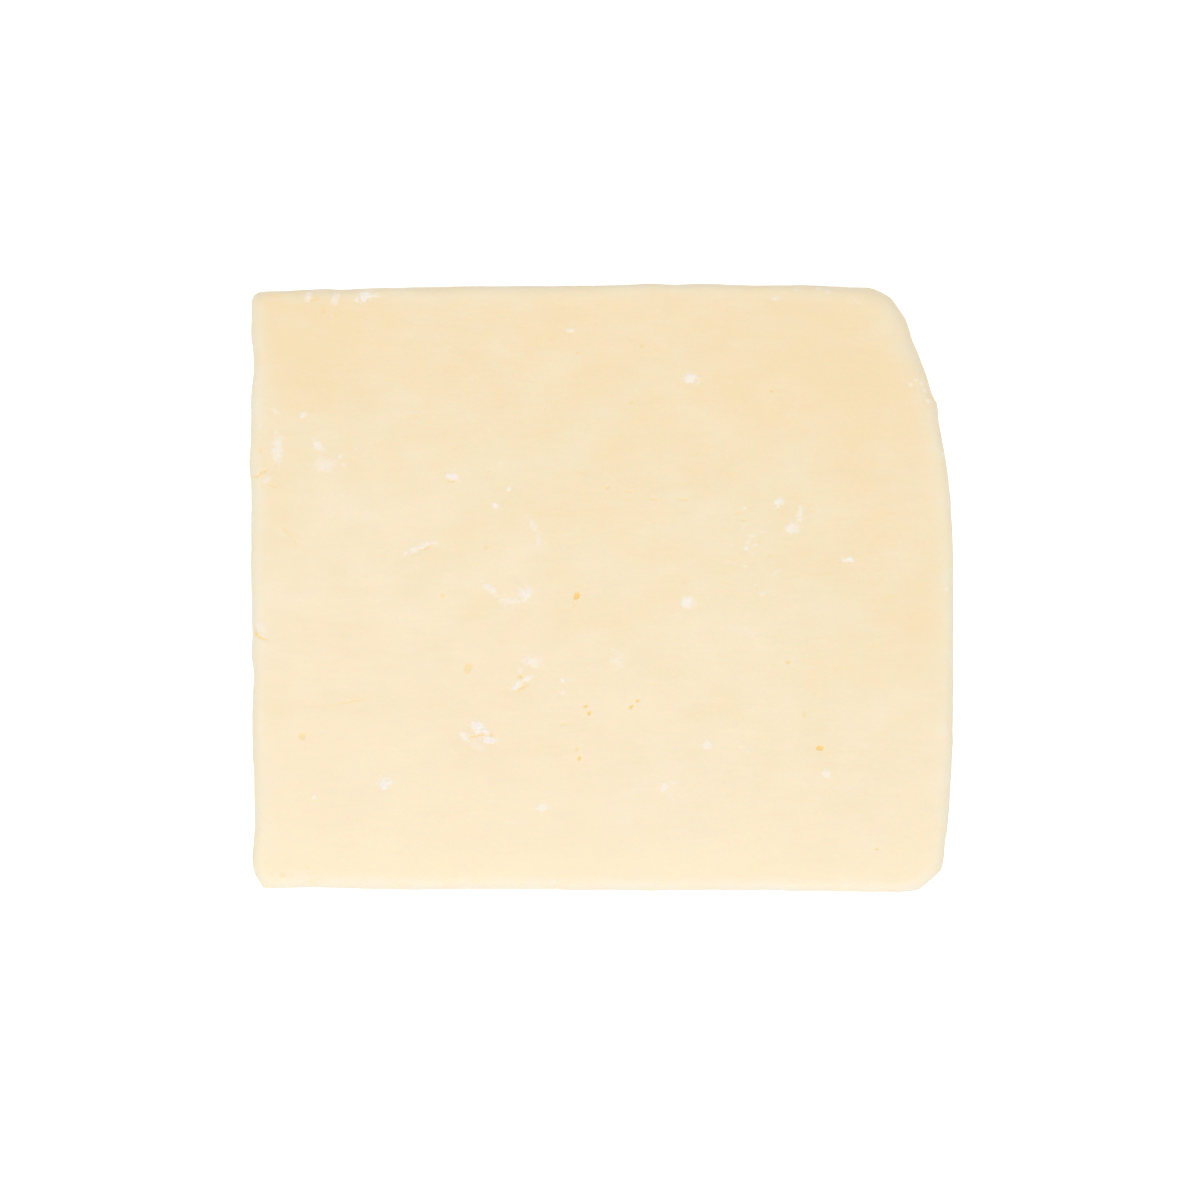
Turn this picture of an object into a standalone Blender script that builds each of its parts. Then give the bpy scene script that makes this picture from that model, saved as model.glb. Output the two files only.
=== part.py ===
# A block of mild white cheddar, cut by hand from a larger cheese and lying on a broad face.
# +X runs along its length, +Y across its width and +Z up. The origin is under its middle.
# One corner is slumped, the rims are worn soft, and small tears, pits and cracks mark the
# skin where the curd let go of the knife.

import math
import random

import bmesh
import bpy
from mathutils import Matrix, Vector, noise
from mathutils.geometry import interpolate_bezier

mm = 0.001

# Driving sizes
length = 105.6 * mm
width = 91.1 * mm
height = 36.0 * mm

# Rims: how far the rounding reaches in from the wall, and how far down it goes
rim_reach = 1.6 * mm
rim_extra_left = 1.1 * mm
rim_extra_right = 0.5 * mm
rim_extra_slump = 1.9 * mm
rim_drop_ratio = 1.25
slump_spread = 12.0 * mm
slump_from_end = 4.0 * mm
slump_from_side = 8.0 * mm
foot_reach = 1.6 * mm
foot_drop = 1.8 * mm

# Unevenness of the cut faces
top_swell = 0.45 * mm
top_swell_size = 38.0 * mm
top_dimple = 0.16 * mm
top_dimple_size = 11.0 * mm
top_dimple_shift = Vector((3.1, 7.7, 1.9))
wall_lean = 0.9 * mm
wall_lean_size = 111.0 * mm
wall_lean_shift = Vector((0.0, 0.0, 0.45))
wall_hollow = 0.7 * mm
wall_wave_size = 21.0 * mm

# Mesh density: cells along the block, across it and up its wall, and steps round its edges
cells_long = 28
cells_wide = 24
cells_high = 6
corner_crowding = 0.45
rim_steps = 4
foot_steps = 3
outline_steps = 10
sharp_angle = math.radians(50)

# Marks: how long a tear is for two crumbs instead of one, and a lump for finer faces
two_crumb_mark = 2.0 * mm
fine_mark = 3.0 * mm
crumb_sink = 0.12 * mm
crumb_side = 0.45
crumb_wide = (0.8, 1.1)
crumb_high = (0.7, 0.9)
crumb_swing = 30
lump_roughness = 0.4
lump_bumps = 3

cheese_color = (0.93, 0.80, 0.55, 1.0)
cheese_roughness = 0.5

# The plan outline, in millimetres from its middle, counter-clockwise. Each side starts at
# its own corner: near left, near right, far right (the slumped one) and far left.
outline_sides = {
    "near": [(-51.6, -44.1), (-50.1, -45.2), (-46.5, -45.3), (-15.3, -45.3), (30.9, -45.6),
             (45.5, -45.5), (48.2, -45.1)],
    "right": [(49.6, -44.0), (51.0, -42.7), (51.5, -39.6), (52.4, -31.0), (52.8, -14.4),
              (52.7, 7.0), (52.1, 17.7), (51.1, 24.5), (50.7, 27.5), (49.7, 29.4),
              (48.5, 33.1), (47.4, 35.9)],
    "far": [(45.8, 40.4), (44.5, 42.4), (42.9, 44.0), (40.4, 44.9), (35.0, 45.3), (14.7, 45.5),
            (6.6, 45.6), (-12.3, 45.3), (-45.3, 44.8), (-49.8, 44.6), (-51.3, 44.4)],
    "left": [(-52.3, 43.7), (-52.7, 42.0), (-52.7, 37.5), (-52.2, 33.4), (-52.6, 29.0),
             (-52.9, 18.5), (-52.6, 14.0), (-52.6, 1.0), (-52.5, -10.8), (-52.0, -13.2),
             (-52.4, -17.0), (-52.4, -25.0), (-52.1, -32.0), (-52.4, -40.5), (-52.2, -42.9)],
}

# Marks on the top, in millimetres and degrees: where, how long, how wide, how deep, how turned.
# A tear lifts crumbs along its edge, a pit and a crack don't.
top_tears = [
    (-19.0, -22.1, 4.6, 2.6, 0.9, 22), (-12.0, -14.3, 4.2, 1.4, 0.7, 38),
    (-40.9, 18.9, 3.3, 2.1, 0.6, 10), (-48.3, 21.1, 3.8, 1.4, 0.6, 86),
    (-27.0, 6.0, 4.1, 1.3, 0.7, 18), (-13.9, -0.8, 5.6, 1.2, 0.6, -12),
    (-22.3, 16.6, 1.8, 1.2, 0.6, -15), (13.4, 31.2, 2.1, 1.5, 0.5, 10),
    (12.9, -2.1, 2.1, 1.8, 0.6, 60), (29.5, 10.4, 2.7, 1.2, 0.5, 80),
    (36.9, 4.3, 2.1, 1.1, 0.5, -8), (-10.5, -10.8, 3.0, 1.3, 0.5, 5),
    (2.3, -10.8, 2.6, 1.6, 0.4, 70), (-32.4, -29.3, 1.9, 1.5, 0.5, 30),
    (11.2, -30.4, 4.2, 1.3, 0.5, -42), (15.8, -23.4, 1.5, 1.3, 0.4, 0),
    (33.6, -27.8, 1.5, 1.2, 0.4, -40), (-13.0, -35.1, 3.8, 1.1, 0.4, 6),
    (23.8, 6.6, 3.4, 1.5, 0.4, 70), (-35.4, 42.6, 2.3, 1.2, 0.5, 35),
]
top_pits = [
    (-3.7, -1.2, 1.5, 1.1, 0.9, 80), (-19.9, -12.0, 1.8, 1.3, 0.7, 60),
    (-44.7, -22.1, 1.5, 1.1, 0.7, 80), (-2.0, -18.2, 1.7, 1.0, 0.8, -60),
    (5.0, -17.2, 1.9, 0.8, 0.8, 48), (-3.3, -25.4, 1.3, 0.9, 0.6, 70),
    (32.6, -23.9, 1.4, 0.8, 0.8, 0), (27.8, -11.1, 0.9, 0.8, 0.5, 0),
    (-3.6, 35.0, 1.1, 0.9, 0.5, 0), (0.9, 15.0, 1.0, 0.7, 0.5, 20),
]
top_cracks = [
    (-46.1, 7.2, 4.8, 0.5, 0.6, -50), (-37.7, -17.1, 4.7, 0.5, 0.5, 16),
    (11.0, 13.6, 6.2, 0.5, 0.4, -5), (44.4, -20.6, 9.0, 0.6, 0.4, 37),
    (-51.3, 17.2, 3.6, 0.6, 0.8, 36), (-51.0, -7.2, 3.0, 0.7, 0.9, -31),
]
wall_marks_long = 5
wall_marks_wide = 4
wall_margin = 3
wall_tear = {"long": (1.8, 4.2), "wide": (1.2, 2.0), "deep": (0.4, 0.7)}
wall_pit = {"long": (1.2, 2.4), "wide": 0.9, "deep": 0.6}
wall_pit_every = 3
wall_mark_place = (0.25, 0.75)
wall_mark_level = (0.15, 0.85)
top_seed = 12
wall_seed = 41


def smooth_outline(sides):
    """Dense points for each side of a closed smooth curve through all the outline's points."""
    knots = []
    for points in sides.values():
        knots += [Vector(point) * mm for point in points]
    count = len(knots)
    headings = [(knots[(i + 1) % count] - knots[i - 1]).normalized() for i in range(count)]
    dense_sides = []
    first = 0
    for points in sides.values():
        dense = []
        for i in range(first, first + len(points)):
            here, there = knots[i], knots[(i + 1) % count]
            pull = (there - here).length / 3
            handle_here = here + headings[i] * pull
            handle_there = there - headings[(i + 1) % count] * pull
            dense += interpolate_bezier(here, handle_here, handle_there, there, outline_steps)[:-1]
        dense.append(knots[(first + len(points)) % count])
        dense_sides.append(dense)
        first += len(points)
    return dense_sides


def spread_points(path, count):
    """That many points along a path, from its start and short of its end, closer at both ends."""
    spans = [(b - a).length for a, b in zip(path, path[1:])]
    shares = [i / count for i in range(count)]
    marks = [share - corner_crowding * math.sin(2 * math.pi * share) / (2 * math.pi)
             for share in shares]
    points = []
    passed = 0.0
    for start, end, span in zip(path, path[1:], spans):
        while len(points) < count and marks[len(points)] * sum(spans) <= passed + span:
            points.append(start.lerp(end, (marks[len(points)] * sum(spans) - passed) / span))
        passed += span
    return points


def fit_to_plan(points):
    """The outline moved and scaled a little so that it measures length by width."""
    low = Vector((min(p.x for p in points), min(p.y for p in points)))
    high = Vector((max(p.x for p in points), max(p.y for p in points)))
    middle = (low + high) / 2
    size = high - low
    return [Vector(((p.x - middle.x) * length / size.x, (p.y - middle.y) * width / size.y))
            for p in points]


def outward_headings(ring):
    """Which way is out at each point of the ring, read across its neighbours."""
    count = len(ring)
    headings = []
    for i in range(count):
        along = ring[(i + 1) % count] - ring[i - 1]
        headings.append(Vector((along.y, -along.x)).normalized())
    return headings


def top_height(x, y):
    place = Vector((x, y, 0.0))
    swell = noise.noise(place / top_swell_size) * top_swell
    dimple = noise.noise(place / top_dimple_size + top_dimple_shift) * top_dimple
    return height - top_swell + swell + dimple


def rim_width(place, heading):
    """How far the top rim's rounding reaches in: more at the left, the right and the slump."""
    side = heading.x
    extra = rim_extra_right * side * side if side > 0 else rim_extra_left * side * side
    slump = Vector((length / 2 - slump_from_end, width / 2 - slump_from_side))
    nearness = math.exp(-((place - slump).length / slump_spread) ** 2)
    return rim_reach + extra + rim_extra_slump * nearness


def wall_inset(place, share):
    """How far the wall stands in from the outline, at a share of the way from foot to rim."""
    spot = Vector((place.x, place.y, share * height))
    wave = 0.5 + 0.5 * noise.noise(spot / wall_wave_size)
    lean = 0.5 + 0.5 * noise.noise(place.to_3d() / wall_lean_size + wall_lean_shift)
    return wall_lean * (1 - share) * lean + wall_hollow * wave * math.sin(math.pi * share)


def rim_point(place, heading, turn):
    """A point on the top rim: turn is 0 where the wall ends and a quarter turn at the top."""
    reach = rim_width(place, heading)
    inset = place - heading * reach * (1 - math.cos(turn))
    drop = reach * rim_drop_ratio * (1 - math.sin(turn))
    return Vector((inset.x, inset.y, top_height(inset.x, inset.y) - drop))


def wall_point(place, heading, share):
    """A point on the wall, at a share of the way up from the foot's rounding to the rim's."""
    top = rim_point(place, heading, 0.0).z
    inset = place - heading * wall_inset(place, share)
    return Vector((inset.x, inset.y, foot_drop + (top - foot_drop) * share))


def foot_point(place, heading, turn):
    """A point on the foot's rounding: turn is a quarter turn at the wall and 0 underneath."""
    inset = place - heading * (wall_inset(place, 0.0) + foot_reach * (1 - math.sin(turn)))
    return Vector((inset.x, inset.y, foot_drop * (1 - math.cos(turn))))


def patch_point(sides, u, v, column, row):
    """A point of the top, blended between its four sides."""
    near, right, far, left = sides
    across = near[column].lerp(far[cells_long - column], v)
    along = left[cells_wide - row].lerp(right[row], u)
    corners_near = near[0].lerp(right[0], u)
    corners_far = left[0].lerp(far[0], u)
    return across + along - corners_near.lerp(corners_far, v)


def lower_ring(mesh, ring, places):
    """Extrude a ring of boundary edges once and put the new ring's points in their places."""
    edges = [mesh.edges.get((ring[i - 1], ring[i])) for i in range(len(ring))]
    made = bmesh.ops.extrude_edge_only(mesh, edges=edges)["geom"]
    above = set(ring)
    below = {}
    for point in made:
        if isinstance(point, bmesh.types.BMVert):
            for edge in point.link_edges:
                if edge.other_vert(point) in above:
                    below[edge.other_vert(point)] = point
    for point, place in zip(ring, places):
        below[point].co = place
    return [below[point] for point in ring]


def make_block():
    """The block before its marks: a grid for the top, its edge taken down the wall and closed."""
    counts = [cells_long, cells_wide, cells_long, cells_wide]
    ring = []
    for dense, count in zip(smooth_outline(outline_sides), counts):
        ring += spread_points(dense, count)
    ring = fit_to_plan(ring)
    headings = outward_headings(ring)
    count = len(ring)

    quarter = math.pi / 2
    inner = [rim_point(place, heading, quarter) for place, heading in zip(ring, headings)]
    sides = []
    first = 0
    for cells in counts:
        sides.append([inner[(first + i) % count].xy for i in range(cells + 1)])
        first += cells

    mesh = bmesh.new()
    bmesh.ops.create_grid(mesh, x_segments=cells_long, y_segments=cells_wide, size=0.5)
    border = {}
    for point in mesh.verts:
        u, v = point.co.x + 0.5, point.co.y + 0.5
        column, row = round(u * cells_long), round(v * cells_wide)
        if row == 0:
            border[column] = point
        elif column == cells_long:
            border[cells_long + row] = point
        elif row == cells_wide:
            border[2 * cells_long + cells_wide - column] = point
        elif column == 0:
            border[count - row] = point
        place = patch_point(sides, u, v, column, row)
        point.co = (place.x, place.y, top_height(place.x, place.y))
    loop = [border[i] for i in range(count)]

    stages = [(rim_point, quarter, rim_steps), (wall_point, 1.0, cells_high),
              (foot_point, quarter, foot_steps)]
    for point_at, full, steps in stages:
        for step in range(steps - 1, -1, -1):
            share = full * step / steps
            loop = lower_ring(mesh, loop, [point_at(p, h, share) for p, h in zip(ring, headings)])
    mesh.faces.new(loop)
    bmesh.ops.recalc_face_normals(mesh, faces=mesh.faces)

    data = bpy.data.meshes.new("cheddar_block")
    mesh.to_mesh(data)
    mesh.free()
    return data, ring, headings


def skin_height(x, y, ring, headings):
    """The height of the skin over a point of the plan, lower where the rim rounds off."""
    place = Vector((x, y))
    index = min(range(len(ring)), key=lambda i: (ring[i] - place).length)
    inside = (ring[index] - place).dot(headings[index])
    reach = rim_width(ring[index], headings[index])
    turn = math.acos(max(0.0, 1 - inside / reach))
    return top_height(x, y) - reach * rim_drop_ratio * (1 - math.sin(turn))


def surface_axes(out, turn):
    """Along, across and away from the skin, turned about the way that points away from it."""
    away = Vector(out).normalized()
    level = Vector((0, 0, 1)).cross(away) if abs(away.z) < 0.5 else Vector((1, 0, 0))
    along = Matrix.Rotation(math.radians(turn), 3, away) @ level.normalized()
    return along, away.cross(along), away


def add_lump(group, spot, axes, sizes):
    """One uneven pebble of the given length, width and depth, lying along the skin."""
    mesh = bmesh.new()
    fineness = 2 if sizes[0] >= fine_mark else 1
    bmesh.ops.create_icosphere(mesh, subdivisions=fineness, radius=0.5)
    for point in mesh.verts:
        point.co *= 1 + lump_roughness * noise.noise(point.co * lump_bumps + spot / mm)
    shape = Matrix(axes).transposed() @ Matrix.Diagonal(sizes)
    bmesh.ops.transform(mesh, matrix=Matrix.Translation(spot) @ shape.to_4x4(), verts=mesh.verts)
    data = bpy.data.meshes.new(group.name)
    mesh.to_mesh(data)
    mesh.free()
    lump = bpy.data.objects.new(group.name, data)
    lump.hide_render = True
    lump.display_type = "WIRE"
    group.objects.link(lump)


def add_hole(cuts, spot, out, mark):
    long, wide, deep, turn = mark
    sizes = (long * mm, wide * mm, 2 * deep * mm)
    add_lump(cuts, spot, surface_axes(out, turn), sizes)


def add_tear(cuts, crumbs, spot, out, mark, draw):
    """A torn spot: a shallow hole with crumbs standing up along one edge of it."""
    add_hole(cuts, spot, out, mark)
    long, wide, deep, turn = mark
    along, across, away = surface_axes(out, turn)
    crumb_count = 2 if long * mm >= two_crumb_mark else 1
    for number in range(crumb_count):
        shift = (number + 0.5) / crumb_count - 0.5
        place = spot + along * shift * long * mm + across * crumb_side * wide * mm
        place -= away * crumb_sink
        sizes = (long / crumb_count * mm, draw.uniform(*crumb_wide) * mm, draw.uniform(*crumb_high) * mm)
        axes = surface_axes(out, turn + draw.uniform(-crumb_swing, crumb_swing))
        add_lump(crumbs, place, axes, sizes)


def add_top_marks(cuts, crumbs, ring, headings):
    draw = random.Random(top_seed)
    up = (0.0, 0.0, 1.0)
    for x, y, *mark in top_tears:
        spot = Vector((x * mm, y * mm, skin_height(x * mm, y * mm, ring, headings)))
        add_tear(cuts, crumbs, spot, up, mark, draw)
    for x, y, *mark in top_pits + top_cracks:
        spot = Vector((x * mm, y * mm, skin_height(x * mm, y * mm, ring, headings)))
        add_hole(cuts, spot, up, mark)


def add_wall_marks(cuts, crumbs, ring, headings):
    """Tears and pits like the top's, spread along each wall clear of the corners."""
    draw = random.Random(wall_seed)
    first = 0
    for cells, marks in ((cells_long, wall_marks_long), (cells_wide, wall_marks_wide)) * 2:
        for number in range(marks):
            along_wall = (number + draw.uniform(*wall_mark_place)) / marks
            index = first + round(wall_margin + along_wall * (cells - 2 * wall_margin))
            spot = wall_point(ring[index], headings[index], draw.uniform(*wall_mark_level))
            out = headings[index].to_3d()
            turn = draw.uniform(0, 180)
            if (number + 1) % wall_pit_every:
                long, wide, deep = [draw.uniform(*span) for span in wall_tear.values()]
                add_tear(cuts, crumbs, spot, out, (long, wide, deep, turn), draw)
            else:
                long = draw.uniform(*wall_pit["long"])
                add_hole(cuts, spot, out, (long, wall_pit["wide"], wall_pit["deep"], turn))
        first += cells


def join_marks(block, group, operation):
    """Cut or join every lump of a group with the block, and remove the lumps."""
    marks = block.modifiers.new(group.name, "BOOLEAN")
    marks.operation = operation
    marks.operand_type = "COLLECTION"
    marks.collection = group
    marks.solver = "EXACT"
    view = bpy.context.evaluated_depsgraph_get()
    block.data = bpy.data.meshes.new_from_object(block.evaluated_get(view))
    block.modifiers.clear()
    for lump in list(group.objects):
        bpy.data.objects.remove(lump)
    bpy.data.collections.remove(group)


def settle(block):
    """Split the faces into triangles, then centre the block over the origin at its size."""
    mesh = bmesh.new()
    mesh.from_mesh(block.data)
    bmesh.ops.triangulate(mesh, faces=mesh.faces)
    low = Vector([min(point.co[axis] for point in mesh.verts) for axis in range(3)])
    high = Vector([max(point.co[axis] for point in mesh.verts) for axis in range(3)])
    base = Vector(((low.x + high.x) / 2, (low.y + high.y) / 2, low.z))
    size = high - low
    for point in mesh.verts:
        place = point.co - base
        point.co = (place.x * length / size.x, place.y * width / size.y, place.z * height / size.z)
    mesh.to_mesh(block.data)
    mesh.free()


def cheese_material():
    material = bpy.data.materials.new("white cheddar")
    material.use_nodes = True
    shader = material.node_tree.nodes["Principled BSDF"]
    shader.inputs["Base Color"].default_value = cheese_color
    shader.inputs["Roughness"].default_value = cheese_roughness
    shader.inputs["Metallic"].default_value = 0.0
    material.diffuse_color = cheese_color
    return material


def main():
    for old in list(bpy.data.objects):
        bpy.data.objects.remove(old)
    parts = bpy.data.collections.new("cheddar block")
    cuts = bpy.data.collections.new("cuts")
    crumbs = bpy.data.collections.new("crumbs")
    for group in (parts, cuts, crumbs):
        bpy.context.scene.collection.children.link(group)

    data, ring, headings = make_block()
    block = bpy.data.objects.new("cheddar_block", data)
    parts.objects.link(block)
    add_top_marks(cuts, crumbs, ring, headings)
    add_wall_marks(cuts, crumbs, ring, headings)
    join_marks(block, cuts, "DIFFERENCE")
    join_marks(block, crumbs, "UNION")
    settle(block)
    block.data.name = "cheddar_block"
    block.data.shade_smooth()
    block.data.set_sharp_from_angle(angle=sharp_angle)
    block.data.materials.clear()
    block.data.materials.append(cheese_material())


main()
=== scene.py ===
import math
import random

import bmesh
import bpy
import numpy as np
from mathutils import Matrix, Vector, noise
from mathutils.geometry import interpolate_bezier


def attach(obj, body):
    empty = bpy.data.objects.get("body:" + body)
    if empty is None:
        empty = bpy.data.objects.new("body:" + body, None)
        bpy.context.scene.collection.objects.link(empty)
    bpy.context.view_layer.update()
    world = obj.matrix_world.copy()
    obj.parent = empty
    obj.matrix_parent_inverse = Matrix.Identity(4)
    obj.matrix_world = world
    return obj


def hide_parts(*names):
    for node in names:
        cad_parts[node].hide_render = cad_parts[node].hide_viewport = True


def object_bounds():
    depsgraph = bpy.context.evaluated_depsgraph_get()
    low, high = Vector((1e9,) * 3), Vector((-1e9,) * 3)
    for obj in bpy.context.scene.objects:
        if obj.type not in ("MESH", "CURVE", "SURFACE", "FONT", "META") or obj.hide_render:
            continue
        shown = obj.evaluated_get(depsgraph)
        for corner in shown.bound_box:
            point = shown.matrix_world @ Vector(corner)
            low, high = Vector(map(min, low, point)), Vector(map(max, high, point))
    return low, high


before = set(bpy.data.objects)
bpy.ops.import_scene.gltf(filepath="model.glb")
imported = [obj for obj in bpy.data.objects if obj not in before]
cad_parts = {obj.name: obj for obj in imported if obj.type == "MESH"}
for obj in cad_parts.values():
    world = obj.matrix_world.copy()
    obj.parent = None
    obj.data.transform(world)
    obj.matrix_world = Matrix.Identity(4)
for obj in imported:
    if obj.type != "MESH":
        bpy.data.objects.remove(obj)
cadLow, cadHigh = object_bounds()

mm = 0.001
quarterTurn = math.pi / 2
up = Vector((0, 0, 1))
facingUp = 0.9  # a normal whose z is more than this looks up, and one below its negative looks down
cadSize = cadHigh - cadLow
print("stage: packed block loaded")


# sRGB hex to the linear colour that shaders take
def hexToLinear(text):
    channels = [int(text[i:i + 2], 16) / 255 for i in (0, 2, 4)]
    return [c / 12.92 if c <= 0.04045 else ((c + 0.055) / 1.055) ** 2.4 for c in channels] + [1.0]


# a node with its settings and links; settings name an input or a property
def addNode(tree, kind, settings=None, links=None):
    node = tree.nodes.new(kind)
    for name, value in (settings or {}).items():
        if isinstance(name, int) or name in node.inputs:
            node.inputs[name].default_value = value
        else:
            setattr(node, name, value)
    for name, source in (links or {}).items():
        tree.links.new(source, node.inputs[name])
    return node


def onlySelect(obj):
    bpy.ops.object.select_all(action="DESELECT")
    obj.select_set(True)
    bpy.context.view_layer.objects.active = obj


# one number for every point of a mesh, which the material reads by name
def writeAttribute(obj, name, values):
    attribute = obj.data.attributes.get(name) or obj.data.attributes.new(name, "FLOAT", "POINT")
    attribute.data.foreach_set("value", np.asarray(values, np.float32))


def readPoints(obj, kind):
    values = np.zeros(len(obj.data.vertices) * 3, np.float32)
    obj.data.vertices.foreach_get(kind, values)
    return values.reshape(-1, 3)


# smooth noise from 0 to 1
def evenNoise(place):
    return 0.5 + 0.5 * noise.noise(place)


# The plan outline in mm, counter-clockwise from the near left corner. Each side starts at its
# own corner, and the far right one is slumped.
blockPlan = {
    "near": [(-51.9, -43.4), (-51.2, -44.3), (-50.7, -45.1), (-50.1, -45.2), (-46.5, -45.1),
             (-37.0, -45.2), (-26.0, -45.4), (-15.3, -45.3), (6.0, -45.5), (20.0, -45.4),
             (31.0, -45.6), (40.0, -45.7), (45.2, -45.7), (46.9, -45.6), (47.8, -45.3)],
    "right": [(49.1, -44.1), (50.3, -43.1), (51.0, -42.3), (51.3, -41.0), (51.6, -38.0),
              (52.0, -35.2), (52.4, -30.0), (52.8, -16.0), (52.8, 5.0), (52.5, 12.0),
              (51.8, 19.0), (51.0, 23.2), (50.6, 25.6), (50.5, 27.5), (50.4, 28.2),
              (49.6, 29.2), (49.4, 30.0), (49.0, 31.6), (48.3, 33.6), (47.2, 36.4),
              (46.4, 38.5), (46.2, 39.4), (45.7, 40.7)],
    "far": [(44.1, 43.0), (43.4, 43.8), (42.8, 44.2), (41.2, 44.9), (40.4, 45.2),
            (38.2, 45.3), (34.0, 45.4), (22.0, 45.5), (14.2, 45.7), (11.4, 45.5), (6.8, 45.7),
            (4.2, 45.5), (-12.3, 45.4), (-22.0, 45.3), (-36.6, 45.0), (-39.0, 44.8),
            (-41.4, 45.0), (-46.0, 44.8), (-49.8, 44.6), (-51.3, 44.5)],
    "left": [(-52.1, 44.1), (-52.5, 43.3), (-52.6, 41.0), (-52.6, 37.8), (-52.3, 35.2),
             (-52.2, 31.6), (-52.6, 28.6), (-52.6, 22.0), (-52.9, 18.5), (-52.6, 15.5),
             (-52.6, 1.0), (-52.4, -2.4), (-52.6, -4.6), (-52.4, -6.8), (-52.5, -10.6),
             (-52.0, -12.8), (-52.3, -15.4), (-52.4, -23.0), (-52.2, -30.0), (-52.0, -35.6),
             (-52.4, -39.6), (-52.3, -42.2)],
}
form = {
    "outlineSteps": 24,
    "cornerCrowding": 0.25,  # how much closer the cells stand at the corners
    "headingReach": 3.2 * mm,  # the stretch of outline that tells which way is out
    "crumble": 0.06 * mm, "crumbleSize": 1.7 * mm, "crumbleSlump": 1.2,
    "rimReach": 1.2 * mm, "rimExtraLeft": 0.9 * mm, "rimExtraRight": 0.7 * mm,
    "rimExtraNear": 0.4 * mm, "rimExtraFar": 0.6 * mm, "rimExtraSlump": 1.5 * mm,
    "rimSwing": 0.25, "rimSwingSize": 7.0 * mm,  # how much the rims' width comes and goes
    "rimDropRatio": 1.1, "rimEasing": 0.76,  # below one, the rim leaves the top more softly
    "slumpSpread": 12.0 * mm, "slumpFromEnd": 4.0 * mm, "slumpFromSide": 8.0 * mm,
    "footReach": 1.6 * mm, "footDrop": 1.8 * mm,
    "topSwell": 0.45 * mm, "topSwellSize": 38.0 * mm,
    "topDimple": 0.16 * mm, "topDimpleSize": 11.0 * mm, "topDimpleShift": (3.1, 7.7, 1.9),
    "nearFall": 0.25 * mm, "nearFallReach": 9.0 * mm,  # the top dips towards its near edge
    "wallLean": 0.9 * mm, "wallLeanSize": 111.0 * mm, "wallLeanShift": (0.0, 0.0, 0.45),
    "wallHollow": 0.7 * mm, "wallWaveSize": 21.0 * mm,
    "underDent": 0.12 * mm, "underDentSize": 17.0 * mm,
    "cellsLong": 128, "cellsWide": 112, "cellsHigh": 24, "rimSteps": 8, "footSteps": 5,
    "ringEasing": 2, "ringEasingMost": 16,  # passes that even out a ring, for each ring from the rim
}


# the outline's four sides as dense points of one closed smooth curve
def smoothSides():
    knots = [Vector(point) * mm for points in blockPlan.values() for point in points]
    count = len(knots)
    headings = [(knots[(i + 1) % count] - knots[i - 1]).normalized() for i in range(count)]
    dense, first = [], 0
    for points in blockPlan.values():
        side = []
        for i in range(first, first + len(points)):
            after = (i + 1) % count
            pull = (knots[after] - knots[i]).length / 3
            side += interpolate_bezier(knots[i], knots[i] + headings[i] * pull,
                                       knots[after] - headings[after] * pull, knots[after],
                                       form["outlineSteps"])[:-1]
        first += len(points)
        dense.append(side + [knots[first % count]])
    return dense


# points along a path, closer together at both its ends
def spreadPoints(path, count):
    spans = [(b - a).length for a, b in zip(path, path[1:])]
    whole = sum(spans)
    wave = form["cornerCrowding"] / (2 * math.pi)
    marks = [(i / count - wave * math.sin(2 * math.pi * i / count)) * whole for i in range(count)]
    points, passed = [], 0.0
    for start, end, span in zip(path, path[1:], spans):
        while len(points) < count and marks[len(points)] <= passed + span:
            points.append(start.lerp(end, (marks[len(points)] - passed) / span))
        passed += span
    return points


# the outline's points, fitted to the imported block's plan
def planRing(counts):
    ring = [p for path, count in zip(smoothSides(), counts) for p in spreadPoints(path, count)]
    low = Vector((min(p.x for p in ring), min(p.y for p in ring)))
    high = Vector((max(p.x for p in ring), max(p.y for p in ring)))
    middle, size = (low + high) / 2, high - low
    return [Vector(((p.x - middle.x) * cadSize.x / size.x, (p.y - middle.y) * cadSize.y / size.y))
            for p in ring]


# which way is out at each point, read across a stretch of the outline
def outwardHeadings(ring):
    count = len(ring)
    headings = []
    for i in range(count):
        before = after = i
        while (ring[before % count] - ring[i]).length < form["headingReach"]:
            before -= 1
        while (ring[after % count] - ring[i]).length < form["headingReach"]:
            after += 1
        along = ring[after % count] - ring[before % count]
        headings.append(Vector((along.y, -along.x)).normalized())
    return headings


def slumpNearness(place):
    slump = Vector((cadSize.x / 2 - form["slumpFromEnd"], cadSize.y / 2 - form["slumpFromSide"]))
    return math.exp(-((place - slump).length / form["slumpSpread"]) ** 2)


# the outline with a fine crumbling, most of it at the slump
def crumbleRing(ring, headings):
    crumbled = []
    for place, heading in zip(ring, headings):
        lift = form["crumble"] * (1 + form["crumbleSlump"] * slumpNearness(place))
        crumbled.append(place + heading * lift * noise.noise(place.to_3d() / form["crumbleSize"]))
    return crumbled


def topHeight(x, y):
    place = Vector((x, y, 0.0))
    swell = noise.noise(place / form["topSwellSize"]) * form["topSwell"]
    dimple = noise.noise(place / form["topDimpleSize"] + Vector(form["topDimpleShift"]))
    fall = math.exp(-(y + cadSize.y / 2) / form["nearFallReach"]) * form["nearFall"]
    return cadSize.z - form["topSwell"] + swell + dimple * form["topDimple"] - fall


# the underside rests on its lowest spots and is a hair higher between them
def underHeight(x, y):
    place = Vector((x, y, cadSize.z)) / form["underDentSize"]
    return form["underDent"] * evenNoise(place)


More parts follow.
